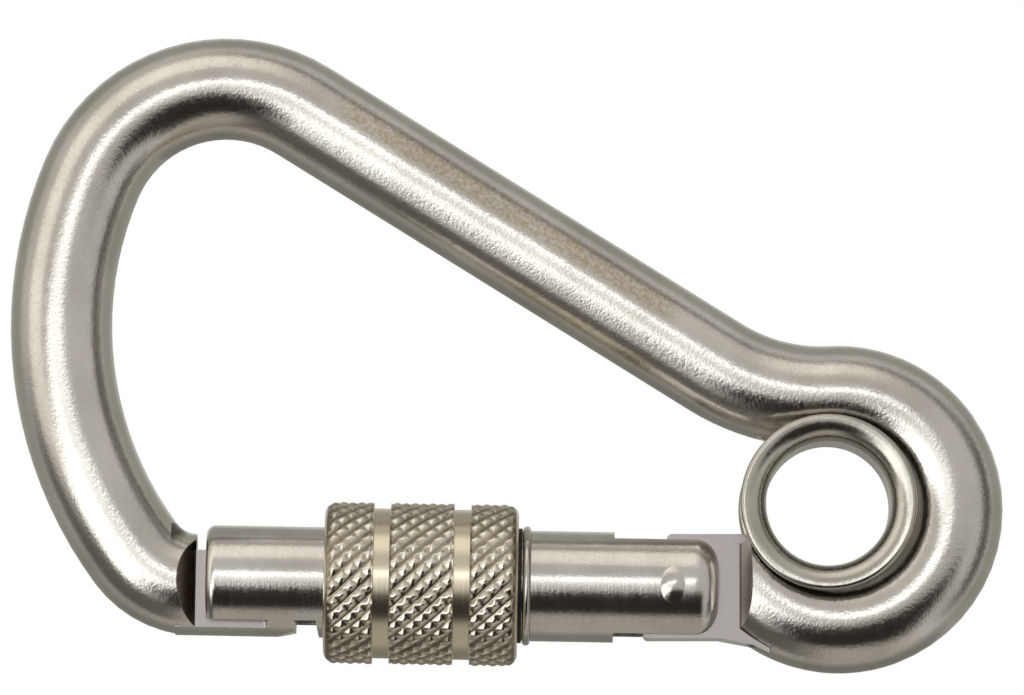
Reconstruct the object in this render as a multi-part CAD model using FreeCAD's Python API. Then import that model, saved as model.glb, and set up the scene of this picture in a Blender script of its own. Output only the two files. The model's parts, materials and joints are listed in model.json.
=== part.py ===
import FreeCAD, Part
import math
import os

# Asymmetric locking snap hook in stainless steel, millimetres.
# The loop lies in the XZ plane, with its gate at the bottom and +Z up.
# Origin: centre of the eyelet's bore. The bore's axis is Y.

# ---- driving dimensions -------------------------------------------------------------

# bar of the body and its curl round the eyelet
bar_radius = 5.1
eye_centre = (1.1, -0.35)
spine_slope = 31.95
spine_offset = 5.68
crease_radius = 20.0
head_radius = 14.66
side_radius = 38.6
lower_bend_radius = 7.7
lower_bend_angle = 52.5

# eyelet, a flared ring
eyelet_bore_radius = 6.25
eyelet_neck_radius = 7.05
eyelet_lip_radius = 8.85
eyelet_straight_half = 3.9
eyelet_lip_gap = 0.06
eyelet_lip_thickness = 0.9
eyelet_root_fillet = 0.4
eyelet_seat_gap = 0.02
eyelet_seat_depth = 0.75

# hinge and tang
hinge_centre = (-15.6, -8.3)
rivet_radius = 1.5
rivet_head_spread = 0.35
rivet_head_depth = 0.8
rivet_dome = 0.22
rivet_turning_gap = 0.06
tang_thickness = 5.4
tang_above = 5.3
tang_below = 5.15
tang_end_top = 0.45
tang_end_bottom = 3.1
tang_corner_fillet = 0.5
tang_shoulder = 6.7
tang_shoulder_slant = 1.3
tang_under_run = 4.6
tang_root_depth = 3.0

# gate: a round bar, measured from the hinge along its own axis
gate_radius = 5.55
gate_tilt = 1.0
gate_reach = 46.8
gate_heel = 4.6
gate_front_fillet = 0.9
gate_heel_fillet = 2.4
hinge_slot_depth = 5.9
hinge_slot_gap = 0.15

# nose of the body, which the gate closes over
nose_gap = 1.0
nose_shoulder_slant = 1.9
tongue_thickness = 5.2
nose_web = 2.65
tongue_fillet = 0.4
nose_head_width = 7.2
nose_head_length = 2.9
nose_head_reach = 10.1
nose_head_bevel_run = 1.9
nose_head_bevel_rise = 0.5
nose_slot_gap = 0.15
nose_ceiling_gap = 0.05
nose_head_gap = 0.3
nose_relief_top = 0.5
nose_relief_bottom = 2.3
nose_slot_bevel = 1.0
nose_scallop_place = 38.5
nose_scallop_half = 2.5
nose_scallop_height = 1.45

# screw thread cut in the gate
thread_pitch = 1.25
thread_depth = 0.45
thread_root_width = 0.3
thread_mouth_width = 1.0
thread_front_gap = 1.8
thread_rear_gap = 3.0
thread_overcut = 0.1

# knurled sleeve, at its rear stop
sleeve_wall = 2.45
sleeve_length = 19.45
sleeve_rear_gap = 0.45
sleeve_edge_fillet = 1.25
sleeve_bore_gap = 0.15
sleeve_rear_lip = 0.8
sleeve_groove_depth = 0.62
sleeve_groove_width = 1.7
sleeve_groove_places = (5.75, 13.8)

# friction ring: its flange sits in a groove inside the sleeve, its neck shows behind the sleeve
friction_ring_gap = 0.06
friction_neck_wall = 0.15
friction_neck_reach = 0.38
friction_flange_width = 0.9
friction_flange_rise = 0.5
recess_gap = 0.05

# split stop ring on the gate
stop_ring_wire = 0.4
stop_ring_place = 14.65
stop_ring_sink = 0.35
stop_ring_split = 1.2
stop_groove_gap = 0.03

# spring and plunger inside the gate, above the hinge line
plunger_height = 1.9
plunger_radius = 1.85
plunger_barrel = 7.0
plunger_tip_gap = 0.03
plunger_bore_gap = 0.05
spring_bore_end = 24.0
spring_wire_radius = 0.3
spring_coils = 8
spring_end_gap = 0.02

# ---- values that follow from them ---------------------------------------------------

tilt = math.radians(gate_tilt)
eye_radius = eyelet_neck_radius + bar_radius - eyelet_seat_depth
eyelet_lip_back = bar_radius + eyelet_lip_gap
rivet_head_radius = rivet_radius + rivet_head_spread
slot_half = tang_thickness / 2 + hinge_slot_gap
nose_drop = gate_radius - bar_radius
tongue_top = gate_radius - nose_web
sleeve_rear = stop_ring_place + stop_ring_wire + sleeve_rear_gap
sleeve_front = sleeve_rear + sleeve_length
thread_start = sleeve_front - thread_front_gap
thread_end = sleeve_rear + thread_rear_gap
sleeve_bore_radius = gate_radius + sleeve_bore_gap
sleeve_radius = sleeve_bore_radius + sleeve_wall
ring_inner_radius = gate_radius + friction_ring_gap
ring_neck_radius = ring_inner_radius + friction_neck_wall
ring_flange_radius = ring_neck_radius + friction_flange_rise
stop_ring_mid = gate_radius + stop_ring_wire - stop_ring_sink
large = 60.0


def point(x, y, z):
    return FreeCAD.Vector(x, y, z)


def heading(degrees):
    angle = math.radians(degrees)
    return point(math.cos(angle), 0, math.sin(angle))


def prism(outline, direction):
    """Solid between a closed flat outline of points and its copy moved by direction."""
    wire = Part.makePolygon(outline + outline[:1])
    return Part.Face(wire).extrude(direction)


def side_plate(outline, thickness):
    """Plate in the XZ plane, centred on Y = 0, from (x, z) points."""
    points = [point(x, -thickness / 2, z) for x, z in outline]
    return prism(points, point(0, thickness, 0))


def block(x_low, x_high, y_half, z_low, z_high):
    corner = point(x_low, -y_half, z_low)
    return Part.makeBox(x_high - x_low, 2 * y_half, z_high - z_low, corner)


def rod(radius, x_low, x_high, z=0.0):
    """Cylinder along X."""
    return Part.makeCylinder(radius, x_high - x_low, point(x_low, 0, z), point(1, 0, 0))


def turned(edges, axis):
    """Solid of revolution about an axis through the origin."""
    return Part.Face(Part.Wire(edges)).revolve(point(0, 0, 0), axis, 360)


def turned_outline(points, axis):
    return turned(Part.makePolygon(points + points[:1]).Edges, axis)


def on_gate(shape):
    """Move a shape from the gate's own frame, with the hinge at its origin, into place."""
    placed = shape.copy()
    placed.rotate(point(0, 0, 0), point(0, 1, 0), gate_tilt)
    placed.translate(point(hinge_centre[0], 0, hinge_centre[1]))
    return placed


def gate_point(along, up):
    """The place in the XZ plane of a point in the gate's own frame."""
    x = hinge_centre[0] + along * math.cos(tilt) + up * math.sin(tilt)
    z = hinge_centre[1] - along * math.sin(tilt) + up * math.cos(tilt)
    return point(x, 0, z)


def arc_between(centre, radius, start, end):
    """Arc about a centre in the XZ plane from one angle to another, in degrees."""
    angles = (start, (start + end) / 2, end)
    points = [centre + heading(angle) * radius for angle in angles]
    return Part.Arc(*points).toShape()


def angle_of(vector):
    return math.degrees(math.atan2(vector.z, vector.x))


def body_path():
    """Centre line of the bar, clockwise from the nose to the end of the curl."""
    nose = gate_point(-gate_reach - nose_gap, -nose_drop)
    first_heading = 180 - gate_tilt
    lower_centre = nose + heading(first_heading - 90) * lower_bend_radius
    side_heading = first_heading - lower_bend_angle
    side_start = lower_centre - heading(side_heading - 90) * lower_bend_radius
    side_centre = side_start + heading(side_heading - 90) * side_radius

    eye = point(eye_centre[0], 0, eye_centre[1])
    along = heading(-spine_slope)
    outward = heading(90 - spine_slope)
    spine_foot = eye + outward * spine_offset

    # the head's arc touches the long side arc from inside, and the spine
    side_distance = (side_centre - spine_foot).dot(outward)
    rise = -head_radius - side_distance
    back = math.sqrt((side_radius - head_radius) ** 2 - rise ** 2)
    head_centre = side_centre + outward * rise - along * back
    side_end = angle_of(head_centre - side_centre)

    # the crease's arc touches the spine from outside, and the curl
    crease_reach = math.sqrt((eye_radius + crease_radius) ** 2 - (spine_offset + crease_radius) ** 2)
    crease_centre = spine_foot - along * crease_reach + outward * crease_radius
    spine_start = head_centre + outward * head_radius
    spine_end = crease_centre - outward * crease_radius
    curl_start = angle_of(crease_centre - eye)

    lower_turn = first_heading + 90
    side_turn = lower_turn - lower_bend_angle
    return Part.Wire([
        arc_between(lower_centre, lower_bend_radius, lower_turn, side_turn),
        arc_between(side_centre, side_radius, side_turn, side_end),
        arc_between(head_centre, head_radius, side_end, 90 - spine_slope),
        Part.LineSegment(spine_start, spine_end).toShape(),
        arc_between(crease_centre, crease_radius, 270 - spine_slope, curl_start + 180),
        arc_between(eye, eye_radius, curl_start, -160),
    ])


def bent_bar():
    path = body_path()
    start = path.Edges[0].firstVertex().Point
    ends = path.Edges[0].Curve.Center
    across = (start - ends).normalize()
    forward = across.cross(point(0, 1, 0))
    section = Part.Face(Part.Wire(Part.makeCircle(bar_radius, start, forward)))
    return path.makePipe(section)


def shoulder_cutter(edge, slant, half_width, side, low, high):
    """Wedge that leaves a slanted shoulder beside a flat; side is +1 or -1 along X."""
    slope = slant / (bar_radius - half_width)
    reach = 3 * bar_radius
    cutters = []
    for y in (1, -1):
        outline = [
            point(edge, y * half_width, low),
            point(edge - side * slope * (reach - half_width), y * reach, low),
            point(edge + side * reach * 2, y * reach, low),
            point(edge + side * reach * 2, y * half_width, low),
        ]
        cutters.append(prism(outline, point(0, 0, high - low)))
    return cutters


def nose():
    """Tongue and T-shaped head, in the gate's frame."""
    shoulder = -gate_reach - nose_gap
    head_right = shoulder + nose_head_reach
    head_left = head_right - nose_head_length
    round_bar = rod(bar_radius, shoulder - 2, head_right, -nose_drop)
    tongue = block(shoulder - 2, head_right, tongue_thickness / 2, -large, tongue_top)
    head = block(head_left, head_right, nose_head_width / 2, -large, tongue_top)
    solid = round_bar.common(tongue.fuse(head)).removeSplitter()
    bevel = side_plate([
        (head_right - nose_head_bevel_run, -gate_radius),
        (head_right + 1, -gate_radius + nose_head_bevel_rise * (1 + 1 / nose_head_bevel_run)),
        (head_right + 1, -gate_radius - 1),
        (head_right - nose_head_bevel_run, -gate_radius - 1),
    ], 2 * gate_radius)
    solid = solid.cut(bevel)
    upright = [e for e in solid.Edges if is_along(e, point(0, 0, 1)) and e.CenterOfMass.x > head_left - 0.1]
    return solid.makeFillet(tongue_fillet, upright)


def is_along(edge, direction):
    if not isinstance(edge.Curve, Part.Line):
        return False
    return abs(abs(edge.Curve.Direction.dot(direction)) - 1) < 1e-6


def tang():
    """Flat plate of the hinge, placed by the hinge centre."""
    x, z = hinge_centre
    root = x + tang_shoulder + tang_root_depth
    outline = [
        (x - tang_end_top, z + tang_above),
        (root, z + tang_above),
        (root, z - tang_below - tang_root_depth / 2),
        (x + tang_shoulder + tang_shoulder_slant, z - tang_below - tang_shoulder_slant / 2),
        (x + tang_under_run, z - tang_below),
        (x - tang_end_bottom, z - tang_below),
    ]
    plate = side_plate(outline, tang_thickness)
    crosswise = [e for e in plate.Edges if is_along(e, point(0, 1, 0)) and e.CenterOfMass.x < x]
    plate = plate.makeFillet(tang_corner_fillet, crosswise)
    bore_radius = rivet_radius + rivet_turning_gap
    bore = Part.makeCylinder(bore_radius, large, point(x, -large / 2, z), point(0, 1, 0))
    return plate.cut(bore)


def body():
    bar = bent_bar()
    eye_x, eye_z = eye_centre
    hinge_x, hinge_z = hinge_centre
    tang_top = hinge_z + tang_above

    # end of the curl: nothing left of the shoulder, nothing above the tang's top
    shoulder_x = hinge_x + tang_shoulder
    low = eye_z - eye_radius - 2 * bar_radius
    beside = shoulder_cutter(shoulder_x, tang_shoulder_slant, tang_thickness / 2, -1, low, tang_top + 0.01)
    left = block(shoulder_x - 3 * bar_radius, shoulder_x, 2 * bar_radius, low, tang_top + 0.01)
    above = block(shoulder_x - 2 * bar_radius, eye_x, 2 * bar_radius, tang_top, eye_z + eyelet_neck_radius / 2)
    bar = bar.cut(beside + [left, above])

    # nose shoulder beside the tongue, cut in the gate's frame
    shoulder = -gate_reach - nose_gap
    slant = nose_shoulder_slant
    for cutter in shoulder_cutter(shoulder, slant, tongue_thickness / 2, 1, -2 * bar_radius, 2 * bar_radius):
        bar = bar.cut(on_gate(cutter))

    solid = bar.fuse([on_gate(nose()), tang()])
    seat_radius = eyelet_neck_radius + eyelet_seat_gap
    seat = Part.makeCylinder(seat_radius, large, point(0, -large / 2, 0), point(0, 1, 0))
    return solid.cut(seat).removeSplitter()


def eyelet():
    """Flared ring about Y, its lips spun over both faces of the curl."""
    bore = eyelet_bore_radius
    neck = eyelet_neck_radius
    lip = eyelet_lip_radius
    edge = eyelet_lip_thickness / 2
    straight = eyelet_straight_half
    back = eyelet_lip_back
    face = back + eyelet_lip_thickness
    flare = face - straight
    bend = eyelet_root_fillet
    diagonal = math.sqrt(0.5)

    def at(radius, y):
        return point(radius, y, 0)

    def half(side):
        flare_mid = at(bore + flare * (1 - diagonal), side * (straight + flare * diagonal))
        bend_mid = at(neck + bend * (1 - diagonal), side * (back - bend * (1 - diagonal)))
        return [
            Part.LineSegment(at(bore, 0), at(bore, side * straight)).toShape(),
            Part.Arc(at(bore, side * straight), flare_mid, at(bore + flare, side * face)).toShape(),
            Part.LineSegment(at(bore + flare, side * face), at(lip - edge, side * face)).toShape(),
            Part.Arc(at(lip - edge, side * face), at(lip, side * (back + edge)), at(lip - edge, side * back)).toShape(),
            Part.LineSegment(at(lip - edge, side * back), at(neck + bend, side * back)).toShape(),
            Part.Arc(at(neck + bend, side * back), bend_mid, at(neck, side * (back - bend))).toShape(),
            Part.LineSegment(at(neck, side * (back - bend)), at(neck, 0)).toShape(),
        ]

    halves = [turned(half(side) + [Part.LineSegment(at(neck, 0), at(bore, 0)).toShape()], point(0, 1, 0))
              for side in (1, -1)]
    return halves[0].fuse(halves[1]).removeSplitter()


def rivet():
    """Cross pin along Y with a countersunk, slightly domed head peened at each end."""
    seat = gate_radius - rivet_head_radius ** 2 / (2 * gate_radius)
    rise = gate_radius + rivet_dome - seat
    cap_radius = (rivet_head_radius ** 2 + rise ** 2) / (2 * rise)
    shank = seat - rivet_head_depth
    pieces = []
    for side in (1, -1):
        outward = point(0, side, 0)
        cap = Part.makeSphere(cap_radius, outward * (seat + rise - cap_radius))
        keep = Part.makeCylinder(cap_radius, cap_radius, outward * seat, outward)
        pieces.append(cap.common(keep))
        pieces.append(Part.makeCone(rivet_radius, rivet_head_radius, rivet_head_depth, outward * shank, outward))
    pin = Part.makeCylinder(rivet_radius, 2 * shank, point(0, -shank, 0), point(0, 1, 0))
    return pin.fuse(pieces).removeSplitter()


def thread():
    """Helical V-groove cutter along X, for the gate's bar."""
    length = thread_start - thread_end
    slope = (thread_mouth_width - thread_root_width) / 2 / thread_depth
    mouth = thread_mouth_width / 2 + slope * thread_overcut
    root = thread_root_width / 2
    root_radius = gate_radius - thread_depth
    mouth_radius = gate_radius + thread_overcut
    helix = Part.makeHelix(thread_pitch, length - thread_mouth_width, gate_radius)
    outline = [
        point(root_radius, 0, -root),
        point(mouth_radius, 0, -mouth),
        point(mouth_radius, 0, mouth),
        point(root_radius, 0, root),
    ]
    section = Part.makePolygon(outline + outline[:1])
    groove = Part.Wire(helix.Edges).makePipeShell([section], True, True)
    groove.rotate(point(0, 0, 0), point(0, 1, 0), 90)
    groove.translate(point(-thread_start + thread_mouth_width / 2, 0, 0))
    return groove


def nose_slot():
    """Space cut in the gate's front end for the tongue and its T-shaped head."""
    shoulder = -gate_reach - nose_gap
    head_right = shoulder + nose_head_reach
    head_left = head_right - nose_head_length
    ceiling = tongue_top + nose_ceiling_gap
    low = -2 * gate_radius
    slot_width = tongue_thickness + 2 * nose_slot_gap
    pocket_width = nose_head_width + 2 * nose_slot_gap
    slot = block(-gate_reach - 1, head_right, slot_width / 2, low, ceiling)
    slope = (nose_relief_bottom - nose_relief_top) / (ceiling + gate_radius)
    pocket = side_plate([
        (head_left - nose_head_gap, ceiling),
        (head_right + nose_relief_top, ceiling),
        (head_right + nose_relief_top + slope * (ceiling - low), low),
        (head_left - nose_head_gap, low),
    ], pocket_width)
    # shallow scallop across the gate's underside, which bares the T-shaped head
    rise = nose_scallop_height
    scallop_radius = (nose_scallop_half ** 2 + rise ** 2) / (2 * rise)
    scallop_centre = point(-nose_scallop_place, -large / 2, rise - gate_radius - scallop_radius)
    scallop = Part.makeCylinder(scallop_radius, large, scallop_centre, point(0, 1, 0))
    cuts = [slot, pocket, scallop]

    # 45 degree bevels along the slot's lower edges
    outer = slot_width / 2 + nose_slot_bevel
    bevel_z = -math.sqrt(gate_radius ** 2 - outer ** 2)
    reach = 2 * nose_slot_bevel
    for y in (1, -1):
        outline = [
            point(-gate_reach - 1, 0, bevel_z + outer),
            point(-gate_reach - 1, y * (outer + reach), bevel_z - reach),
            point(-gate_reach - 1, 0, bevel_z - reach),
        ]
        cuts.append(prism(outline, point(head_left - nose_head_gap + gate_reach + 1, 0, 0)))
    return cuts


def spring_bore():
    radius = plunger_radius + plunger_bore_gap
    return rod(radius, -spring_bore_end, -hinge_slot_depth + 0.5, plunger_height)


def stop_groove():
    return Part.makeTorus(stop_ring_mid, stop_ring_wire + stop_groove_gap,
                          point(-stop_ring_place, 0, 0), point(1, 0, 0))


def gate():
    bar = rod(gate_radius, -gate_reach, gate_heel)
    front = [e for e in bar.Edges if abs(e.CenterOfMass.x + gate_reach) < 0.01]
    bar = bar.makeFillet(gate_front_fillet, front)
    heel = [e for e in bar.Edges if abs(e.CenterOfMass.x - gate_heel) < 0.01]
    bar = bar.makeFillet(gate_heel_fillet, heel)
    bar = bar.cut(thread())
    hinge_slot = block(-hinge_slot_depth, gate_heel + 1, slot_half, -large, large)
    return bar.cut(nose_slot() + [hinge_slot, spring_bore(), stop_groove(), rivet()])


def sleeve():
    front = -sleeve_front
    rear = -sleeve_rear
    lip_radius = ring_neck_radius + recess_gap
    recess_radius = ring_flange_radius + recess_gap
    recess_right = rear - sleeve_rear_lip
    recess_left = recess_right - friction_flange_width - 2 * recess_gap
    outline = [
        (front, sleeve_bore_radius),
        (front, sleeve_radius),
    ]
    for place in sleeve_groove_places:
        for offset, radius in ((-1, sleeve_radius), (-1, sleeve_radius - sleeve_groove_depth),
                               (1, sleeve_radius - sleeve_groove_depth), (1, sleeve_radius)):
            outline.append((front + place + offset * sleeve_groove_width / 2, radius))
    outline += [
        (rear, sleeve_radius),
        (rear, lip_radius),
        (recess_right, lip_radius),
        (recess_right, recess_radius),
        (recess_left, recess_radius),
        (recess_left, sleeve_bore_radius),
    ]
    solid = turned_outline([point(x, 0, r) for x, r in outline], point(1, 0, 0))
    ends = [e for e in solid.Edges if is_outer_end(e, front) or is_outer_end(e, rear)]
    return solid.makeFillet(sleeve_edge_fillet, ends)


def is_outer_end(edge, x):
    box = edge.BoundBox
    return abs(box.XMin - x) < 0.01 and box.XLength < 0.01 and abs(box.ZMax - sleeve_radius) < 0.01


def friction_ring():
    right = -sleeve_rear + friction_neck_reach
    flange_right = -sleeve_rear - sleeve_rear_lip - recess_gap
    left = flange_right - friction_flange_width
    outline = [
        (left, ring_inner_radius),
        (left, ring_flange_radius),
        (flange_right, ring_flange_radius),
        (flange_right, ring_neck_radius),
        (right, ring_neck_radius),
        (right, ring_inner_radius),
    ]
    return turned_outline([point(x, 0, r) for x, r in outline], point(1, 0, 0))


def stop_ring():
    ring = Part.makeTorus(stop_ring_mid, stop_ring_wire, point(-stop_ring_place, 0, 0), point(1, 0, 0))
    split = Part.makeBox(4 * stop_ring_wire, large, stop_ring_split,
                         point(-stop_ring_place - 2 * stop_ring_wire, 0, -stop_ring_split / 2))
    return ring.cut(split)


def tip_centre():
    """How far from the hinge the plunger's round tip has its centre, along the gate."""
    run = tang_end_bottom - tang_end_top
    height = tang_above + tang_below
    slope = math.atan2(run, height) - tilt
    face = tang_end_top * math.cos(tilt) + tang_above * math.sin(tilt)
    top_height = tang_above * math.cos(tilt) - tang_end_top * math.sin(tilt)
    at_height = face + (top_height - plunger_height) * math.tan(slope)
    return at_height + (plunger_radius + plunger_tip_gap) / math.cos(slope)


def spring_plunger():
    centre = -tip_centre()
    barrel = rod(plunger_radius, centre - plunger_barrel, centre, plunger_height)
    tip = Part.makeSphere(plunger_radius, point(centre, 0, plunger_height))
    return barrel.fuse(tip).removeSplitter()


def gate_spring():
    right = -tip_centre() - plunger_barrel - spring_end_gap
    left = -spring_bore_end + spring_end_gap
    run = right - left - 2 * spring_wire_radius
    coil_radius = plunger_radius - spring_wire_radius
    helix = Part.makeHelix(run / spring_coils, run, coil_radius)
    section = Part.Wire(Part.makeCircle(spring_wire_radius, point(coil_radius, 0, 0), point(0, 1, 0)))
    coil = Part.Wire(helix.Edges).makePipeShell([section], True, True)
    coil.rotate(point(0, 0, 0), point(0, 1, 0), 90)
    coil.translate(point(left + spring_wire_radius, 0, plunger_height))
    return coil


os.makedirs("parts", exist_ok=True)
pieces = {
    "body": body(),
    "eyelet": eyelet(),
    "gate": on_gate(gate()),
    "hinge_rivet": on_gate(rivet()),
    "spring_plunger": on_gate(spring_plunger()),
    "gate_spring": on_gate(gate_spring()),
    "sleeve": on_gate(sleeve()),
    "friction_ring": on_gate(friction_ring()),
    "stop_ring": on_gate(stop_ring()),
}
for name, shape in pieces.items():
    solid = shape.Solids[0] if len(shape.Solids) == 1 else shape
    print(name, solid.ShapeType, "solids", len(shape.Solids), "valid", solid.isValid(), "volume", round(solid.Volume, 1))
    solid.exportStep("parts/" + name + ".step")
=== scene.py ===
import json
import math
import bpy
import bmesh
from mathutils import Matrix, Vector


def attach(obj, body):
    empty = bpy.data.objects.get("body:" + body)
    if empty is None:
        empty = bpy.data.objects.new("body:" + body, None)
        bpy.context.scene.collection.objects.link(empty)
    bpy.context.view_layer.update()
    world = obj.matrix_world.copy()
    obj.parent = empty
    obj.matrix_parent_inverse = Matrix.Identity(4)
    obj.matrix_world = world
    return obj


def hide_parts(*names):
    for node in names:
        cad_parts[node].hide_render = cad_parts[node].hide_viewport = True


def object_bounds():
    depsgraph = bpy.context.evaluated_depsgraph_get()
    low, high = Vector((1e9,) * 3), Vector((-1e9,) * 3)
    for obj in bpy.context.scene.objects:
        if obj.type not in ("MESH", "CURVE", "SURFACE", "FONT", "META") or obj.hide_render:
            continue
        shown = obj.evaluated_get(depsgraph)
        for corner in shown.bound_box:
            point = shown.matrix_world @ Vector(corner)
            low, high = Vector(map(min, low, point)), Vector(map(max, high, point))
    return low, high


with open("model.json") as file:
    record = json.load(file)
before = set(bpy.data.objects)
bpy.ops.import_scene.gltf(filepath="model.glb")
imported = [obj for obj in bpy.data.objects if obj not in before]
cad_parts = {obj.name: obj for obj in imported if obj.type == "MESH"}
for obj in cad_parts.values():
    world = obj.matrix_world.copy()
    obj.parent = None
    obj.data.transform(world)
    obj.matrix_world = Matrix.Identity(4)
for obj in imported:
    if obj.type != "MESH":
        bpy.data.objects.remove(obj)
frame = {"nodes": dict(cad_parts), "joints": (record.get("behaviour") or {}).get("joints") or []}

mm = 0.001
cadBox = [list(corner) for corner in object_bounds()]
lowCorner = Vector(cadBox[0])
joints = {joint["name"]: joint for joint in frame["joints"]}
hingePoint = Vector(joints["gate_hinge"]["pos_m"])
noseward = Vector(joints["sleeve_travel"]["axis"]).normalized()  # along the gate, towards the nose
print("frame loaded, box", cadBox)


def linearColour(hexValue):
    channels = [int(hexValue[i:i + 2], 16) / 255 for i in (1, 3, 5)]
    linear = [c / 12.92 if c <= 0.04045 else ((c + 0.055) / 1.055) ** 2.4 for c in channels]
    return (*linear, 1.0)


def addNode(tree, kind, settings=None, links=None, at=(0, 0)):
    # settings are node properties or socket values, links are the sockets that feed it
    node = tree.nodes.new(kind)
    node.location = at
    for name, value in (settings or {}).items():
        if isinstance(name, str) and hasattr(node, name):
            setattr(node, name, value)
        else:
            node.inputs[name].default_value = value
    for name, socket in (links or {}).items():
        tree.links.new(socket, node.inputs[name])
    return node


def maths(tree, operation, first, second, at):
    # a maths node whose two inputs are numbers or sockets
    node = addNode(tree, "ShaderNodeMath", {"operation": operation}, at=at)
    for index, value in enumerate((first, second)):
        if isinstance(value, (int, float)):
            node.inputs[index].default_value = value
        else:
            tree.links.new(value, node.inputs[index])
    return node.outputs[0]


def ramp(tree, value, start, end, at):
    # 0 at start, 1 at end
    return addNode(tree, "ShaderNodeMapRange", {"From Min": start, "From Max": end},
                   {"Value": value}, at).outputs[0]


def blend(tree, factor, under, tone, at):
    # a plain tone laid over a colour by the factor
    node = addNode(tree, "ShaderNodeMix", {"data_type": "RGBA"}, {"Factor": factor, "A": under}, at)
    node.inputs["B"].default_value = linearColour(tone)
    return node.outputs["Result"]


def addRelief(tree, shader, height, depth, at):
    node = addNode(tree, "ShaderNodeBump", {"Strength": 1.0, "Distance": depth * mm}, {"Height": height}, at)
    tree.links.new(node.outputs["Normal"], shader.inputs["Normal"])


def gateFrame():
    # the gate's own axes, from the hinge: X towards the eyelet, Y through the hook, Z towards the spine
    along = -noseward
    across = Vector((0, 1, 0))
    turn = Matrix((along, across, along.cross(across))).transposed().to_4x4()
    return Matrix.Translation(hingePoint) @ turn


def meshPiece(name, mesh, materials, smoothAngle=None):
    piece = bpy.data.objects.new(name, mesh)
    bpy.context.scene.collection.objects.link(piece)
    mesh.materials.clear()
    for material in materials:
        mesh.materials.append(material)
    mesh.shade_smooth()
    if smoothAngle:
        mesh.set_sharp_from_angle(angle=math.radians(smoothAngle))
    return piece


def emptyMaterial(name):
    material = bpy.data.materials.new(name)
    material.use_nodes = True
    tree = material.node_tree
    tree.nodes.clear()
    output = addNode(tree, "ShaderNodeOutputMaterial", at=(1200, 0))
    shader = addNode(tree, "ShaderNodeBsdfPrincipled", at=(900, 0))
    tree.links.new(shader.outputs["BSDF"], output.inputs["Surface"])
    return material, tree, shader


def gateCoordinates(tree):
    # metres along the gate, through the hook and towards the spine, from the hinge
    place = addNode(tree, "ShaderNodeTexCoord", at=(-1500, 0))
    turn = gateFrame().to_euler()
    return addNode(tree, "ShaderNodeMapping", {"vector_type": "TEXTURE", 1: hingePoint, 2: turn},
                   {0: place.outputs["Object"]}, (-1300, 0)).outputs[0]


def flatShare(tree, flats):
    # 1 on the milled sides of the tang and the nose, 0 on the round bar and everywhere else
    place = addNode(tree, "ShaderNodeTexCoord", at=(-1500, 900))
    parts = addNode(tree, "ShaderNodeSeparateXYZ", {}, {0: place.outputs["Object"]}, (-1300, 900))
    facing = addNode(tree, "ShaderNodeNewGeometry", at=(-1500, 700))
    normal = addNode(tree, "ShaderNodeSeparateXYZ", {}, {0: facing.outputs["Normal"]}, (-1300, 700))
    depth = maths(tree, "ABSOLUTE", parts.outputs[1], 0.0, (-1100, 900))
    square = maths(tree, "ABSOLUTE", normal.outputs[1], 0.0, (-1100, 700))
    inside = ramp(tree, depth, flats["depth"][1] * mm, flats["depth"][0] * mm, (-900, 900))
    level = ramp(tree, square, *flats["square"], (-900, 700))
    return maths(tree, "MULTIPLY", inside, level, (-700, 800))


def within(tree, value, span, soft, at):
    # 1 inside the span, fading to 0 over soft; both in millimetres
    low, high = (end * mm for end in span)
    middle, half = (low + high) / 2, (high - low) / 2
    away = maths(tree, "ABSOLUTE", maths(tree, "SUBTRACT", value, middle, at), 0.0, (at[0] + 150, at[1]))
    return addNode(tree, "ShaderNodeMapRange", {"interpolation_type": "SMOOTHSTEP",
                   "From Min": half + soft * mm, "From Max": half},
                   {"Value": away}, (at[0] + 300, at[1])).outputs[0]


def product(tree, values, at):
    total = values[0]
    for number, value in enumerate(values[1:]):
        total = maths(tree, "MULTIPLY", total, value, (at[0] + 150 * number, at[1]))
    return total


def cornerShadeAndDirt(tree, shadeAndDirt):
    # painted shade in the corner where each slanted shoulder meets the milled flat, partly polishing dirt left
    # there
    place = addNode(tree, "ShaderNodeSeparateXYZ", {}, {0: gateCoordinates(tree)}, (-1100, 1500)).outputs
    facing = addNode(tree, "ShaderNodeNewGeometry", at=(-1300, 1300))
    normal = addNode(tree, "ShaderNodeSeparateXYZ", {}, {0: facing.outputs["Normal"]}, (-1100, 1300)).outputs
    depth = maths(tree, "ABSOLUTE", place[1], 0.0, (-900, 1500))
    shares = []
    for number, shoulder in enumerate(shadeAndDirt["shoulders"]):
        y = 1900 + 400 * number
        corner = within(tree, depth, (0, shoulder["reach"]), shoulder["fade"], (-700, y - 150))
        near = within(tree, place[0], shoulder["along"], shadeAndDirt["edge"], (-700, y))
        level = within(tree, place[2], shadeAndDirt["height"], shadeAndDirt["edge"], (-700, y + 150))
        low, high = (shoulder["faces"] * lean for lean in shadeAndDirt["lean"])
        slant = ramp(tree, normal[0], low, high, (-400, y + 300))
        shares.append(product(tree, (near, level, slant, corner), (-100, y)))
    return addNode(tree, "ShaderNodeMath", {"operation": "ADD", "use_clamp": True},
                   {0: shares[0], 1: shares[1]}, (400, 2000)).outputs[0]


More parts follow.
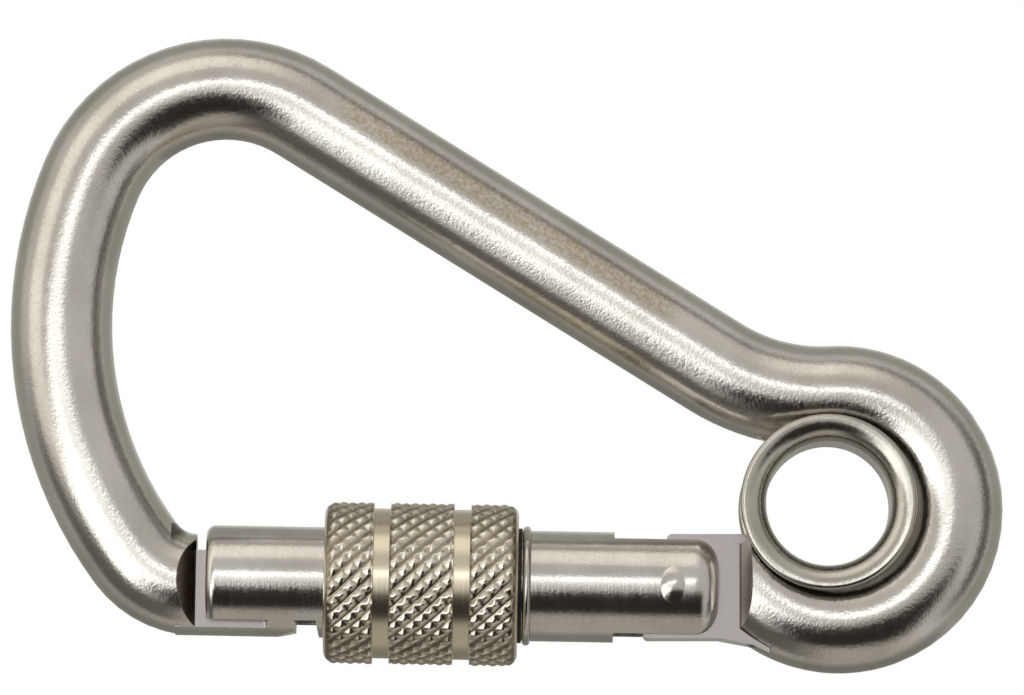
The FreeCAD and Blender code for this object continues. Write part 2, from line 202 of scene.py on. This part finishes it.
def spineStain(tree, stain):
    # straw coloured heat stain in a mottled strip along the front of the spine
    place = addNode(tree, "ShaderNodeTexCoord", at=(-1500, 2700)).outputs["Object"]
    spine = addNode(tree, "ShaderNodeMapping", {"vector_type": "TEXTURE", 1: Vector(stain["foot"]) * mm,
                    2: (0, math.radians(stain["slope"]), 0)}, {0: place}, (-1300, 2700)).outputs[0]
    parts = addNode(tree, "ShaderNodeSeparateXYZ", {}, {0: spine}, (-1100, 2700)).outputs
    length = within(tree, parts[0], stain["along"], stain["endFade"], (-800, 2700))
    width = within(tree, parts[2], stain["across"], stain["sideFade"], (-800, 2900))
    front = ramp(tree, parts[1], stain["front"][0] * mm, stain["front"][1] * mm, (-800, 3100))
    blotch = addNode(tree, "ShaderNodeTexNoise", {"Scale": 1 / (stain["blotchSize"] * mm), "Detail": 5.0},
                     {"Vector": spine}, (-1000, 3300))
    low, high = stain["blotchRange"]
    patch = addNode(tree, "ShaderNodeMapRange", {"From Min": low, "From Max": high, "To Max": stain["share"]},
                    {"Value": blotch.outputs["Fac"]}, (-800, 3300))
    return product(tree, (length, width, front, patch.outputs[0]), (-400, 2900))


steelNoise = {"pits": (0.62, 0.74), "texture": (0.7, 1.3)}  # the part of the noise that each effect uses


def steelMaterial(name, look):
    material, tree, shader = emptyMaterial(name)
    shader.inputs["Metallic"].default_value = 1.0
    if look["turned"]:
        place = gateCoordinates(tree)
    else:
        place = addNode(tree, "ShaderNodeTexCoord", at=(-1500, 0)).outputs["Object"]

    # slow change of tone over some millimetres, left by handling
    cloud = addNode(tree, "ShaderNodeTexNoise", {"Scale": 1 / (look["cloudSize"] * mm), "Detail": 4.0},
                    {"Vector": place}, (-900, 300))
    spread = addNode(tree, "ShaderNodeMapRange", {"From Min": 0.3, "From Max": 0.7},
                     {"Value": cloud.outputs["Fac"]}, (-650, 300))
    tone = addNode(tree, "ShaderNodeMix", {"data_type": "RGBA"},
                   {"Factor": spread.outputs["Result"]}, (-400, 300))
    tone.inputs["A"].default_value = linearColour(look["darkTone"])
    tone.inputs["B"].default_value = linearColour(look["lightTone"])

    # fine dark specks in the satin, dirt in pits
    speck = addNode(tree, "ShaderNodeTexNoise", {"Scale": 1 / (look["speckSize"] * mm), "Detail": 1.0},
                    {"Vector": place}, (-900, 0))
    low, high = steelNoise["pits"]
    pit = addNode(tree, "ShaderNodeMapRange", {"From Min": low, "From Max": high, "To Max": look["speckShare"]},
                  {"Value": speck.outputs["Fac"]}, (-650, 0))
    colour = blend(tree, pit.outputs["Result"], tone.outputs["Result"], look["speckTone"], (-150, 200))

    # polishing marks: long and thin round a turned part, even in all directions on a tumbled one
    stretch = look["markStretch"]
    marks = addNode(tree, "ShaderNodeMapping", {3: (1 / (look["markSize"] * mm),
                    1 / (look["markSize"] * stretch * mm), 1 / (look["markSize"] * stretch * mm))},
                    {0: place}, (-1100, -300))
    grain = addNode(tree, "ShaderNodeTexNoise", {"Scale": 1.0, "Detail": 3.0},
                    {"Vector": marks.outputs[0]}, (-900, -300))
    texture = maths(tree, "ADD", grain.outputs["Fac"], speck.outputs["Fac"], (-400, -300))
    low, high = steelNoise["texture"]
    rough = addNode(tree, "ShaderNodeMapRange", {"From Min": low, "From Max": high,
                    "To Min": look["roughness"] - look["roughnessSpread"],
                    "To Max": look["roughness"] + look["roughnessSpread"]},
                    {"Value": texture}, (-150, -150)).outputs["Result"]
    worked = look.get("worked")
    if worked:
        stain, shadeAndDirt, flats = worked["stain"], worked["shadeAndDirt"], worked["flats"]
        colour = blend(tree, spineStain(tree, stain), colour, stain["tone"], (100, 300))
        # painted shade: darker in each shoulder's corner against the milled flat, partly polishing dirt
        colour = blend(tree, cornerShadeAndDirt(tree, shadeAndDirt), colour, shadeAndDirt["tone"], (300, 300))
        # milled sides are left duller and flatter than the polished bar
        share = flatShare(tree, flats)
        rough = addNode(tree, "ShaderNodeMix", {"data_type": "FLOAT", 3: flats["roughness"]},
                        {"Factor": share, 2: rough}, (100, -150)).outputs[0]
        colour = blend(tree, share, colour, flats["tone"], (600, 300))
        grit = addNode(tree, "ShaderNodeMapRange", {"To Min": 1.0, "To Max": flats["relief"]},
                       {"Value": share}, (-400, -500))
        texture = maths(tree, "MULTIPLY", texture, grit.outputs["Result"], (-150, -400))
    tree.links.new(colour, shader.inputs["Base Color"])
    tree.links.new(rough, shader.inputs["Roughness"])
    addRelief(tree, shader, texture, look["reliefDepth"], (300, -300))
    return material


tumbledStainless = {  # bent bar, tumbled and buffed: warm grey satin with soft ragged reflections
    "darkTone": "#CAC7C0", "lightTone": "#DFDCD6", "cloudSize": 7.0, "turned": False,
    "speckSize": 0.25, "speckShare": 0.15, "speckTone": "#8C8578",
    "markSize": 0.42, "markStretch": 1.0,
    "roughness": 0.2, "roughnessSpread": 0.05, "reliefDepth": 0.012,
    "worked": {  # where the bar was milled, shaded with painted shade and partly dirty in its corners, or heated; millimetres
        "flats": {"depth": (3.7, 3.9), "square": (0.9, 0.97), "roughness": 0.38, "relief": 0.7,
                  "tone": "#B4AFAF"},
        # painted shade in the shoulder corners, partly polishing dirt
        "shadeAndDirt": {"tone": "#6A6357", "height": (-5.8, 5.6), "edge": 0.1, "lean": (0.3, 0.5), "shoulders": (
            {"along": (-50.3, -47.6), "faces": 1, "reach": 3.4, "fade": 1.6},    # wide, at the nose
            {"along": (4.6, 8.6), "faces": -1, "reach": 2.75, "fade": 0.5})},    # a thin line, at the hinge
        "stain": {"foot": (4.1, 0, 4.47), "slope": 31.95, "along": (-62, -26), "endFade": 3,
                  "across": (1.5, 2.7), "sideFade": 0.7, "front": (-3.0, -3.6),
                  "blotchSize": 0.38, "blotchRange": (0.36, 0.64), "share": 0.6, "tone": "#B39762"},
    },
}
turnedStainless = {  # turned bar, polished across its length: fine rings round it, a little brighter
    "darkTone": "#CCC9C3", "lightTone": "#E0DED9", "cloudSize": 5.0, "turned": True,
    "speckSize": 0.25, "speckShare": 0.15, "speckTone": "#8C8578",
    "markSize": 0.28, "markStretch": 12.0,
    "roughness": 0.19, "roughnessSpread": 0.05, "reliefDepth": 0.008,
}
spunStainless = {  # eyelet, spun to shape: smooth but a little darker and softer than the bar
    "darkTone": "#B7B5AC", "lightTone": "#CECBC3", "cloudSize": 4.0, "turned": False,
    "speckSize": 0.25, "speckShare": 0.12, "speckTone": "#847D72",
    "markSize": 0.4, "markStretch": 1.0,
    "roughness": 0.21, "roughnessSpread": 0.05, "reliefDepth": 0.006,
}
springSteel = {  # drawn wire: bright and smooth
    "darkTone": "#C4C1BA", "lightTone": "#D8D5CE", "cloudSize": 3.0, "turned": False,
    "speckSize": 0.25, "speckShare": 0.1, "speckTone": "#8A857B",
    "markSize": 0.3, "markStretch": 1.0,
    "roughness": 0.16, "roughnessSpread": 0.04, "reliefDepth": 0.003,
}
bodySteel = steelMaterial("tumbledStainless", tumbledStainless)
gateSteel = steelMaterial("turnedStainless", turnedStainless)
eyeletSteel = steelMaterial("spunStainless", spunStainless)
wireSteel = steelMaterial("springSteel", springSteel)


def knurledMaterial(name, look):
    material, tree, shader = emptyMaterial(name)
    shader.inputs["Metallic"].default_value = 1.0
    place = gateCoordinates(tree)

    # distance from the gate's axis tells crest, valley and plain groove apart
    flat = addNode(tree, "ShaderNodeVectorMath", {"operation": "MULTIPLY", 1: (0, 1, 1)},
                   {0: place}, (-1100, 300))
    radius = addNode(tree, "ShaderNodeVectorMath", {"operation": "LENGTH"}, {0: flat.outputs[0]}, (-900, 300))
    distance = radius.outputs["Value"]
    height = ramp(tree, distance, look["valleyRadius"] * mm, look["crestRadius"] * mm, (-700, 300))
    low, high = look["grooveEdge"]
    groove = ramp(tree, distance, low * mm, high * mm, (-700, 0))
    cloud = addNode(tree, "ShaderNodeTexNoise", {"Scale": 1 / (look["cloudSize"] * mm), "Detail": 3.0},
                    {"Vector": place}, (-900, 600))
    shift = addNode(tree, "ShaderNodeMath", {"operation": "MULTIPLY_ADD", 1: 0.7, 2: -0.35},
                    {0: cloud.outputs["Fac"]}, (-700, 600))
    shadeAndWear = addNode(tree, "ShaderNodeMath", {"operation": "ADD", "use_clamp": True},
                   {0: height, 1: shift.outputs[0]}, (-500, 400))
    # painted shade: the tone darkens from crest to valley by depth, with random wear mixed in
    knurl = addNode(tree, "ShaderNodeMix", {"data_type": "RGBA"}, {"Factor": shadeAndWear.outputs[0]}, (-300, 300))
    knurl.inputs["A"].default_value = linearColour(look["valleyShadeTone"])
    knurl.inputs["B"].default_value = linearColour(look["crestTone"])
    tone = addNode(tree, "ShaderNodeMix", {"data_type": "RGBA"},
                   {"Factor": groove, "B": knurl.outputs["Result"]}, (-50, 300))
    tone.inputs["A"].default_value = linearColour(look["grooveTone"])
    tree.links.new(tone.outputs["Result"], shader.inputs["Base Color"])

    # rolled metal is rougher in the valleys; the grooves carry rings from the turning tool
    grain = addNode(tree, "ShaderNodeTexNoise", {"Scale": 1 / (look["grainSize"] * mm), "Detail": 2.0},
                    {"Vector": place}, (-900, -300))
    roughness = addNode(tree, "ShaderNodeMapRange", {"To Min": look["roughness"] + look["roughnessSpread"],
                        "To Max": look["roughness"] - look["roughnessSpread"]},
                        {"Value": shadeAndWear.outputs[0]}, (-50, -100))
    tree.links.new(roughness.outputs["Result"], shader.inputs["Roughness"])
    rings = addNode(tree, "ShaderNodeMapping", {3: (1 / (look["ringSize"] * mm), 60, 60)},
                    {0: place}, (-1100, -600))
    turning = addNode(tree, "ShaderNodeTexNoise", {"Scale": 1.0, "Detail": 2.0},
                      {"Vector": rings.outputs[0]}, (-900, -600))
    texture = addNode(tree, "ShaderNodeMix", {"data_type": "FLOAT"},
                      {"Factor": groove, 2: turning.outputs["Fac"], 3: grain.outputs["Fac"]}, (-300, -400))
    addRelief(tree, shader, texture.outputs[0], look["reliefDepth"], (300, -400))
    return material


rolledKnurl = {  # rolled diamond knurl: bright worn crests over brownish grey valleys darkened with painted shade, straw coloured grooves
    "crestTone": "#ECE6D8", "valleyShadeTone": "#958C79", "grooveTone": "#E2DAC4",
    "crestRadius": 8.05, "valleyRadius": 7.83, "grooveEdge": (7.6, 7.65), "cloudSize": 1.6,
    "grainSize": 0.2, "ringSize": 0.3, "roughness": 0.2, "roughnessSpread": 0.05, "reliefDepth": 0.008,
}
sleeveSteel = knurledMaterial("rolledKnurlStainless", rolledKnurl)


def rubberMaterial(name, look):
    material, tree, shader = emptyMaterial(name)
    place = addNode(tree, "ShaderNodeTexCoord", at=(-600, 0))
    bloom = addNode(tree, "ShaderNodeTexNoise", {"Scale": 1 / (look["bloomSize"] * mm), "Detail": 3.0},
                    {"Vector": place.outputs["Object"]}, (-300, 0))
    tone = addNode(tree, "ShaderNodeMix", {"data_type": "RGBA"}, {"Factor": bloom.outputs["Fac"]}, (0, 0))
    tone.inputs["A"].default_value = linearColour(look["darkTone"])
    tone.inputs["B"].default_value = linearColour(look["lightTone"])
    tree.links.new(tone.outputs["Result"], shader.inputs["Base Color"])
    roughness = addNode(tree, "ShaderNodeMapRange", {"To Min": look["roughness"] - look["roughnessSpread"],
                        "To Max": look["roughness"] + look["roughnessSpread"]},
                        {"Value": bloom.outputs["Fac"]}, (0, -200))
    tree.links.new(roughness.outputs["Result"], shader.inputs["Roughness"])
    addRelief(tree, shader, bloom.outputs["Fac"], look["reliefDepth"], (300, -300))
    return material


gapShadeRubber = {  # moulded nitrile rubber: near black and dull, its tone also painting the shade of the gap by the stop ring so the band reads as a gap
    "darkTone": "#0E0E0D", "lightTone": "#1C1B19", "bloomSize": 0.4,
    "roughness": 0.62, "roughnessSpread": 0.08, "reliefDepth": 0.01,
}
# near black rubber whose tone also paints the shade in the gap between sleeve and stop ring
gapShadeRingRubber = rubberMaterial("nitrileRubberGapShade", gapShadeRubber)
print("materials made")

for nodeName, material in {
    "body": bodySteel, "eyelet": eyeletSteel, "gate": gateSteel, "hinge_rivet": gateSteel,
    "spring_plunger": wireSteel, "gate_spring": wireSteel, "stop_ring": wireSteel, "friction_ring": gapShadeRingRubber,
}.items():
    mesh = frame["nodes"][nodeName].data
    mesh.materials.clear()
    mesh.materials.append(material)


knurledSleeve = {  # millimetres from the hinge along the gate; negative is towards the nose
    "front": -34.95, "rear": -15.5, "crestRadius": 8.13, "boreRadius": 5.7, "endRound": 1.25,
    "grooves": ((-29.2, 1.7), (-21.15, 1.7)), "grooveRadius": 7.53, "runOut": 0.45,
    "rearLipRadius": 5.81, "recess": (-17.3, -16.3), "recessRadius": 6.31,
    "step": 0.145, "around": 348,
    "starts": 29.0, "pitch": 1.79, "mainDepth": 0.32, "crossDepth": 0.24, "crestShare": 0.12,
}


def sleeveOutline(user):
    # (x, radius, knurl share) from the front of the bore, over the outside, back through the recess
    front, rear, crest, turn = user["front"], user["rear"], user["crestRadius"], user["endRound"]
    steps = 14
    ends = []
    for k in range(steps + 1):
        angle = math.pi / 2 * k / steps
        radius = crest - turn * (1 - math.sin(angle))
        share = max(0.0, 1 - (crest - radius) / user["runOut"])  # the knurl fades out over the rounded end
        ends.append((front + turn * (1 - math.cos(angle)), radius, share))
    points = [(front, user["boreRadius"], 0), (front, 6.3, 0)] + ends

    edges = [front + turn]
    for centre, width in user["grooves"]:
        edges += [centre - width / 2, centre + width / 2]
    edges.append(rear - turn)
    bands = list(zip(edges[::2], edges[1::2]))
    for number, (low, high) in enumerate(bands):
        count = round((high - low) / user["step"])
        for k in range(count + 1):
            x = low + (high - low) * k / count
            fromLow = 1.0 if number == 0 else (x - low + 0.02) / 0.15
            fromHigh = 1.0 if number == 2 else (high - x + 0.02) / 0.15
            points.append((x, crest, min(1.0, fromLow, fromHigh)))
        if number < 2:
            gap = 0.06
            points += [(high, crest - gap, 0), (high, user["grooveRadius"] + gap, 0),
                       (high + gap, user["grooveRadius"], 0)]
            nextLow = bands[number + 1][0]
            points += [(nextLow - gap, user["grooveRadius"], 0), (nextLow, user["grooveRadius"] + gap, 0),
                       (nextLow, crest - gap, 0)]
    points += [(front + rear - x, radius, share) for x, radius, share in ends[::-1]]
    points += [(rear, 6.3, 0), (rear, user["rearLipRadius"], 0), (user["recess"][1], user["rearLipRadius"], 0),
               (user["recess"][1], user["recessRadius"], 0), (user["recess"][0], user["recessRadius"], 0),
               (user["recess"][0], user["boreRadius"], 0)]
    tidy = [points[0]]
    for item in points[1:]:
        if math.dist(item[:2], tidy[-1][:2]) > 0.004:
            tidy.append(item)
    return tidy


def turnedMesh(name, outline, around):
    bm = bmesh.new()
    knurl = bm.verts.layers.float.new("knurl")
    rings = []
    for x, radius, share in outline:
        ring = []
        for k in range(around):
            angle = 2 * math.pi * k / around
            vert = bm.verts.new(Vector((x, -radius * math.cos(angle), radius * math.sin(angle))) * mm)
            vert[knurl] = share
            ring.append(vert)
        rings.append(ring)
    for first, second in zip(rings, rings[1:] + rings[:1]):
        for k in range(around):
            j = (k + 1) % around
            bm.faces.new((first[k], first[j], second[j], second[k]))
    bmesh.ops.recalc_face_normals(bm, faces=bm.faces)
    mesh = bpy.data.meshes.new(name)
    bm.to_mesh(mesh)
    bm.free()
    return mesh


def knurlTree(material):
    # cuts two crossing sets of helical grooves into a turned surface round the X axis
    tree = bpy.data.node_groups.new("rolledKnurl", "GeometryNodeTree")
    face = tree.interface
    face.new_socket("Geometry", in_out="INPUT", socket_type="NodeSocketGeometry")
    for title in ("Starts", "Pitch", "Main Depth", "Cross Depth", "Crest Share"):
        face.new_socket(title, in_out="INPUT", socket_type="NodeSocketFloat")
    face.new_socket("Geometry", in_out="OUTPUT", socket_type="NodeSocketGeometry")
    given = addNode(tree, "NodeGroupInput", at=(-1600, 0)).outputs
    output = addNode(tree, "NodeGroupOutput", at=(1400, 0))

    place = addNode(tree, "GeometryNodeInputPosition", at=(-1400, 300)).outputs[0]
    parts = addNode(tree, "ShaderNodeSeparateXYZ", {}, {0: place}, (-1200, 300)).outputs
    towards = maths(tree, "MULTIPLY", parts[1], -1.0, (-1000, 200))
    angle = maths(tree, "ARCTAN2", parts[2], towards, (-800, 200))
    turns = maths(tree, "DIVIDE", angle, 2 * math.pi, (-600, 200))
    startsRound = maths(tree, "MULTIPLY", turns, given["Starts"], (-400, 200))
    along = maths(tree, "DIVIDE", parts[0], given["Pitch"], (-600, 400))

    depths = []
    for operation, depth, y in (("SUBTRACT", "Main Depth", 300), ("ADD", "Cross Depth", 0)):
        phase = maths(tree, "FRACT", maths(tree, operation, startsRound, along, (-200, y)), 0.0, (0, y))
        fromMiddle = maths(tree, "ABSOLUTE", maths(tree, "SUBTRACT", phase, 0.5, (150, y)), 0.0, (300, y))
        away = maths(tree, "MULTIPLY", fromMiddle, 2.0, (450, y))
        depths.append(addNode(tree, "ShaderNodeMapRange", {"From Max": 1.0}, {"Value": away,
                      "From Min": given["Crest Share"], "To Max": given[depth]}, (600, y)).outputs["Result"])
    deepest = maths(tree, "MAXIMUM", depths[0], depths[1], (800, 200))
    share = addNode(tree, "GeometryNodeInputNamedAttribute", {"data_type": "FLOAT", "Name": "knurl"},
                    at=(600, -300)).outputs["Attribute"]
    cut = maths(tree, "MULTIPLY", maths(tree, "MULTIPLY", deepest, share, (900, 0)), -1.0, (1000, 0))
    flat = addNode(tree, "ShaderNodeVectorMath", {"operation": "MULTIPLY", 1: (0, 1, 1)},
                   {0: place}, (600, -500))
    outward = addNode(tree, "ShaderNodeVectorMath", {"operation": "NORMALIZE"}, {0: flat.outputs[0]}, (800, -500))
    offset = addNode(tree, "ShaderNodeVectorMath", {"operation": "SCALE"},
                     {0: outward.outputs[0], "Scale": cut}, (1000, -300))
    moved = addNode(tree, "GeometryNodeSetPosition", {},
                    {"Geometry": given["Geometry"], "Offset": offset.outputs[0]}, (1100, 0))
    real = addNode(tree, "GeometryNodeRealizeInstances", {}, {0: moved.outputs[0]}, (1200, 0))
    coated = addNode(tree, "GeometryNodeSetMaterial", {"Material": material}, {0: real.outputs[0]}, (1300, 0))
    tree.links.new(coated.outputs[0], output.inputs[0])
    return tree


def makeKnurledSleeve(user):
    blankMesh = turnedMesh("sleeveBlank", sleeveOutline(user), user["around"])
    blank = meshPiece("sleeveBlank", blankMesh, [sleeveSteel])
    tree = knurlTree(sleeveSteel)
    values = {"Starts": user["starts"], "Pitch": user["pitch"] * mm, "Main Depth": user["mainDepth"] * mm,
              "Cross Depth": user["crossDepth"] * mm, "Crest Share": user["crestShare"]}
    modifier = blank.modifiers.new("knurl", "NODES")
    modifier.node_group = tree
    for item in tree.interface.items_tree:
        if item.in_out == "INPUT" and item.name in values:
            modifier[item.identifier] = values[item.name]
    graph = bpy.context.evaluated_depsgraph_get()
    mesh = bpy.data.meshes.new_from_object(blank.evaluated_get(graph))
    blank.modifiers.clear()
    bpy.data.objects.remove(blank)
    mesh.transform(gateFrame())
    mesh.attributes.remove(mesh.attributes["knurl"])
    sleeve = meshPiece("knurledSleeve", mesh, [sleeveSteel], 32)
    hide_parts("sleeve")
    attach(sleeve, "sleeve")
    print("sleeve has", len(mesh.polygons), "faces")


makeKnurledSleeve(knurledSleeve)

studio = {
    "floorDrop": 0.11, "floorSize": 6.0, "floorTone": "#F2F1EE",
    "cameraDistance": 1.2, "cameraRise": -5.0, "viewWidth": 0.10302,
    "sensorWidth": 36.0, "aim": (-0.0317, 0.0, 0.0160),
    "wallTone": (0.60, 0.580, 0.545), "backdrop": 1.0,
}

# soft light and dark cards round the hook: degrees from straight behind the camera, sideways and up
flatCards = [
    # dark bench front
    {"at": (8, -37), "half": (32, 26), "turn": 0, "soft": 0.3, "tone": (0.030, 0.027, 0.024)},
    # glow between the lamp's ends
    {"at": (-6, 1), "half": (13, 5.5), "turn": 50, "soft": 0.4, "tone": (1.25, 1.23, 1.20)},
    # lamp, near end
    {"at": (-4, 11.5), "half": (13, 3.6), "turn": 12, "soft": 0.4, "tone": (2.6, 2.6, 2.6)},
    # lamp, wide end
    {"at": (-30, -16), "half": (23, 15), "turn": 42, "soft": 0.2, "tone": (2.0, 1.98, 1.95)},
]
# the same by degrees out from behind the camera, and degrees round anticlockwise from the upper left
ringCards = [
    {"at": (142, 0), "half": (38, 200), "soft": 0.15, "tone": (0.37, 0.36, 0.325)},  # far wall
    # window high on the far wall
    {"at": (158, -45), "half": (14, 75), "soft": 0.5, "tone": (0.62, 0.61, 0.57)},
    {"at": (145, 135), "half": (24, 62), "soft": 0.5, "tone": (0.24, 0.23, 0.205)},  # foot of the far wall
    # thin dark shelf edge above
    {"at": (79, -72), "half": (6, 32), "soft": 0.6, "tone": (0.22, 0.21, 0.19)},
    {"at": (88, 135), "half": (26, 30), "soft": 0.25, "tone": (0.46, 0.435, 0.385)},  # bench top
    # dark corner, lower left
    {"at": (80, 88), "half": (22, 36), "soft": 0.3, "tone": (0.14, 0.132, 0.115)},
    {"at": (62, 0), "half": (15, 58), "soft": 0.35, "tone": (1.15, 1.10, 1.0)},  # pale ceiling reflector
    {"at": (86, -135), "half": (11, 38), "soft": 0.5, "tone": (0.13, 0.12, 0.105)},  # dark strip, right
]


def makeFloor():
    mesh = bpy.data.meshes.new("floor")
    half = studio["floorSize"] / 2
    z = lowCorner.z - studio["floorDrop"]
    corners = [(-half, -half, z), (half, -half, z), (half, half, z), (-half, half, z)]
    mesh.from_pydata(corners, [], [(0, 1, 2, 3)])
    material, tree, shader = emptyMaterial("paleFloor")
    shader.inputs["Base Color"].default_value = linearColour(studio["floorTone"])
    shader.inputs["Roughness"].default_value = 0.8
    floor = meshPiece("floor", mesh, [material])
    floor.visible_glossy = False  # the steel reflects the cards below instead


def addCard(tree, coordinates, card, under, x):
    # a soft-edged box of colour over the colour that comes in
    place = addNode(tree, "ShaderNodeMapping", {"vector_type": "TEXTURE", 1: (*card["at"], 0),
                    2: (0, 0, math.radians(card.get("turn", 0))), 3: (*card["half"], 1)},
                    {0: coordinates}, (x, -300))
    away = addNode(tree, "ShaderNodeVectorMath", {"operation": "ABSOLUTE"},
                   {0: place.outputs[0]}, (x + 150, -300))
    parts = addNode(tree, "ShaderNodeSeparateXYZ", {}, {0: away.outputs[0]}, (x + 300, -300))
    masks = [addNode(tree, "ShaderNodeMapRange", {"interpolation_type": "SMOOTHSTEP",
                     "From Min": 1 + card["soft"], "From Max": 1 - card["soft"]},
                     {"Value": parts.outputs[axis]}, (x + 450, -300 - 200 * axis)).outputs[0]
             for axis in (0, 1)]
    mask = maths(tree, "MULTIPLY", masks[0], masks[1], (x + 600, -300))
    mix = addNode(tree, "ShaderNodeMix", {"data_type": "RGBA"}, {"Factor": mask, "A": under}, (x + 750, 0))
    mix.inputs["B"].default_value = (*card["tone"], 1)
    return mix.outputs["Result"]


def makeWorld():
    world = bpy.data.worlds.new("studio")
    bpy.context.scene.world = world
    world.use_nodes = True
    tree = world.node_tree
    tree.nodes.clear()
    place = addNode(tree, "ShaderNodeTexCoord", at=(-1800, 0)).outputs["Generated"]
    parts = addNode(tree, "ShaderNodeSeparateXYZ", {}, {0: place}, (-1600, 0)).outputs

    behind = maths(tree, "MULTIPLY", parts[1], -1.0, (-1400, 0))
    out = maths(tree, "DEGREES", maths(tree, "ARCCOSINE", behind, 0.0, (-1200, 0)), 0.0, (-1000, 0))
    side = addNode(tree, "ShaderNodeCombineXYZ", {}, {0: parts[0], 1: parts[2]}, (-1400, 300))
    unit = addNode(tree, "ShaderNodeVectorMath", {"operation": "NORMALIZE"}, {0: side.outputs[0]}, (-1200, 300))
    flat = addNode(tree, "ShaderNodeVectorMath", {"operation": "SCALE"},
                   {0: unit.outputs[0], "Scale": out}, (-800, 300))
    turned = addNode(tree, "ShaderNodeVectorRotate", {"rotation_type": "Z_AXIS", "Angle": -math.radians(135)},
                     {0: side.outputs[0]}, (-1200, 600))
    turnedParts = addNode(tree, "ShaderNodeSeparateXYZ", {}, {0: turned.outputs[0]}, (-1000, 600)).outputs
    bearing = maths(tree, "ARCTAN2", turnedParts[1], turnedParts[0], (-800, 600))
    around = maths(tree, "DEGREES", bearing, 0.0, (-600, 600))
    ring = addNode(tree, "ShaderNodeCombineXYZ", {}, {0: out, 1: around}, (-400, 600))

    wall = addNode(tree, "ShaderNodeRGB", at=(-400, 0))
    wall.outputs[0].default_value = (*studio["wallTone"], 1)
    colour = wall.outputs[0]
    for number, card in enumerate(ringCards):
        colour = addCard(tree, ring.outputs[0], card, colour, 900 * number)
    for number, card in enumerate(flatCards):
        colour = addCard(tree, flat.outputs[0], card, colour, 900 * (number + len(ringCards)))

    x = 900 * (len(ringCards) + len(flatCards))
    ray = addNode(tree, "ShaderNodeLightPath", at=(x, 300)).outputs
    reflected = addNode(tree, "ShaderNodeBackground", {"Strength": 1.0}, {"Color": colour}, (x + 200, -100))
    # the backdrop is plain white to the camera, and only reflections see the cards
    white = addNode(tree, "ShaderNodeBackground", {"Color": (1, 1, 1, 1), "Strength": studio["backdrop"]},
                    at=(x + 200, 100))
    plain = maths(tree, "MAXIMUM", ray["Is Camera Ray"], ray["Is Diffuse Ray"], (x + 200, 300))
    mix = addNode(tree, "ShaderNodeMixShader", {},
                  {0: plain, 1: reflected.outputs[0], 2: white.outputs[0]}, (x + 400, 0))
    addNode(tree, "ShaderNodeOutputWorld", {}, {0: mix.outputs[0]}, (x + 600, 0))


def makeCamera():
    data = bpy.data.cameras.new("camera")
    camera = bpy.data.objects.new("camera", data)
    bpy.context.scene.collection.objects.link(camera)
    distance = studio["cameraDistance"]
    rise = math.radians(studio["cameraRise"])
    aim = Vector(studio["aim"])
    camera.location = aim + Vector((0, -math.cos(rise), math.sin(rise))) * distance
    camera.rotation_euler = (aim - camera.location).to_track_quat("-Z", "Y").to_euler()
    data.sensor_width = studio["sensorWidth"]
    data.lens = studio["sensorWidth"] * distance / studio["viewWidth"]
    data.clip_end = 20
    bpy.context.scene.camera = camera


makeFloor()
makeWorld()
makeCamera()
bpy.context.scene.view_settings.view_transform = "Standard"
print("studio made")
